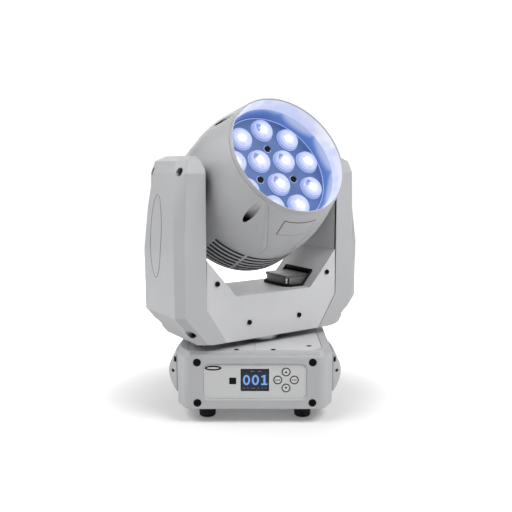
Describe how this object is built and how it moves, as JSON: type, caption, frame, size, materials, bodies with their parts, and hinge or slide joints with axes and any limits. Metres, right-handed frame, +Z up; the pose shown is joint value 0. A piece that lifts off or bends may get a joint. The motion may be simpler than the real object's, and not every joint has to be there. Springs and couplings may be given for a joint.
{
  "type": "moving head light",
  "caption": "Motorised wash light: a bowl-shaped head with zooming lenses tilts between two arms of a yoke that pans on a base with display and keys.",
  "frame": {"origin": "on the floor under the feet, on the pan axis", "axes": "+Z up, -Y towards the side with the display, +X to the right seen from the front"},
  "size_m": [0.3258, 0.2686, 0.4675],
  "materials": {
    "body_paint": "fine matte light grey moulding",
    "sheet_paint": "fine matte light grey powder coat",
    "panel_film": "printed satin front film",
    "button_cap": "satin light grey",
    "black_screw": "blackened steel",
    "foot_rubber": "matte black",
    "display_glass": "clear window, dark",
    "display_core": "dark display",
    "circuit": "green solder mask",
    "led": "pale encapsulated emitter",
    "lens_clear": "clear, polished",
    "lens_carrier": "satin",
    "shroud_dark": "satin dark",
    "aluminium_raw": "extruded, clear anodised",
    "steel": "turned",
    "motor_dark": "dark laminated body",
    "belt_rubber": "toothed black",
    "fan_black": "matte black",
    "connector_blue": "dark glossy",
    "supply_case": "plain sheet"
  },
  "bodies": {
    "base": {"base_front_cap": "body_paint", "base_rear_cap": "body_paint", "base_tray": "sheet_paint", "base_top_plate": "sheet_paint", "side_handle_right": "body_paint", "side_handle_left": "body_paint", "feet": "foot_rubber", "rigging_sockets": "steel", "control_fascia": "panel_film", "display_window": "display_glass", "display_module": "display_core", "control_board": "circuit", "power_supply": "supply_case", "power_connectors": "connector_blue", "dmx_inputs": "connector_blue", "dmx_outputs": "connector_blue", "pan_column": "steel", "pan_pulley": "aluminium_raw", "base_screws": "black_screw"},
    "key_up": {"button_up": "button_cap"},
    "key_down": {"button_down": "button_cap"},
    "key_menu": {"button_menu": "button_cap"},
    "key_enter": {"button_enter": "button_cap"},
    "yoke": {"yoke_front_plate": "sheet_paint", "yoke_back_plate": "sheet_paint", "yoke_saddle": "sheet_paint", "yoke_floor": "sheet_paint", "arm_cover_right": "body_paint", "arm_cover_left": "body_paint", "yoke_screws": "black_screw", "pan_bearing": "steel", "tilt_bearings": "steel", "pan_motor": "motor_dark", "tilt_motor": "motor_dark", "motor_brackets": "sheet_paint", "pan_belt": "belt_rubber", "tilt_belt": "belt_rubber"},
    "pan_drive": {"pan_motor_pulley": "aluminium_raw"},
    "tilt_drive": {"tilt_motor_pulley": "aluminium_raw"},
    "head": {"head_front_shell": "body_paint", "head_rear_shell": "body_paint", "head_bezel": "body_paint", "light_shroud": "shroud_dark", "head_frame": "aluminium_raw", "tilt_shafts": "steel", "tilt_pulley": "aluminium_raw", "heat_sink": "aluminium_raw", "led_board": "circuit", "led_emitters": "led", "fan_frame": "fan_black", "zoom_motor": "motor_dark", "head_screws": "black_screw", "label_plate": "panel_film"},
    "fan": {"fan_rotor": "fan_black"},
    "screw": {"zoom_screw": "steel"},
    "carriage": {"lens_plate": "lens_carrier", "lenses": "lens_clear", "lens_plate_screws": "black_screw", "guide_rods": "steel"}
  },
  "joints": [
    {"name": "pan", "type": "hinge", "parent": "base", "child": "yoke", "pos_m": [0, 0, 0.12], "axis": [0, 0, 1], "range_deg": [-303.6, 236.4]},
    {"name": "tilt", "type": "hinge", "parent": "yoke", "child": "head", "pos_m": [0, 0, 0.3364], "axis": [0.8329, 0.5534, 0], "range_deg": [-195.15, 74.85]},
    {"name": "zoom", "type": "slide", "parent": "head", "child": "carriage", "axis": [0.48, -0.7224, 0.4977], "range_m": [-0.01, 0.008]},
    {"name": "zoom_screw_spin", "type": "hinge", "parent": "head", "child": "screw", "pos_m": [0, 0, 0.3364], "axis": [0.48, -0.7224, 0.4977], "range_deg": [-460, 370]},
    {"name": "pan_drive_spin", "type": "hinge", "parent": "yoke", "child": "pan_drive", "pos_m": [0.05622, 0.03735, 0.138], "axis": [0, 0, 1], "range_deg": [-1190, 1526]},
    {"name": "tilt_drive_spin", "type": "hinge", "parent": "yoke", "child": "tilt_drive", "pos_m": [0.10828, 0.07194, 0.232], "axis": [0.8329, 0.5534, 0], "range_deg": [-935, 364]},
    {"name": "fan_spin", "type": "hinge", "parent": "head", "child": "fan", "pos_m": [-0.02016, 0.03034, 0.3155], "axis": [0.48, -0.7224, 0.4977], "continuous": true},
    {"name": "press_up", "type": "slide", "parent": "base", "child": "key_up", "axis": [0, 1, 0], "range_m": [0, 0.0005], "stiffness_N_per_m": 700, "springref_m": -0.0006},
    {"name": "press_down", "type": "slide", "parent": "base", "child": "key_down", "axis": [0, 1, 0], "range_m": [0, 0.0005], "stiffness_N_per_m": 700, "springref_m": -0.0006},
    {"name": "press_menu", "type": "slide", "parent": "base", "child": "key_menu", "axis": [0, 1, 0], "range_m": [0, 0.0005], "stiffness_N_per_m": 700, "springref_m": -0.0006},
    {"name": "press_enter", "type": "slide", "parent": "base", "child": "key_enter", "axis": [0, 1, 0], "range_m": [0, 0.0005], "stiffness_N_per_m": 700, "springref_m": -0.0006}
  ],
  "couplings": [
    {"joint": "pan_drive_spin", "follows": "pan", "ratio": -5},
    {"joint": "tilt_drive_spin", "follows": "tilt", "ratio": 4.75},
    {"joint": "zoom_screw_spin", "follows": "zoom", "rad_per_m": 785.4}
  ]
}
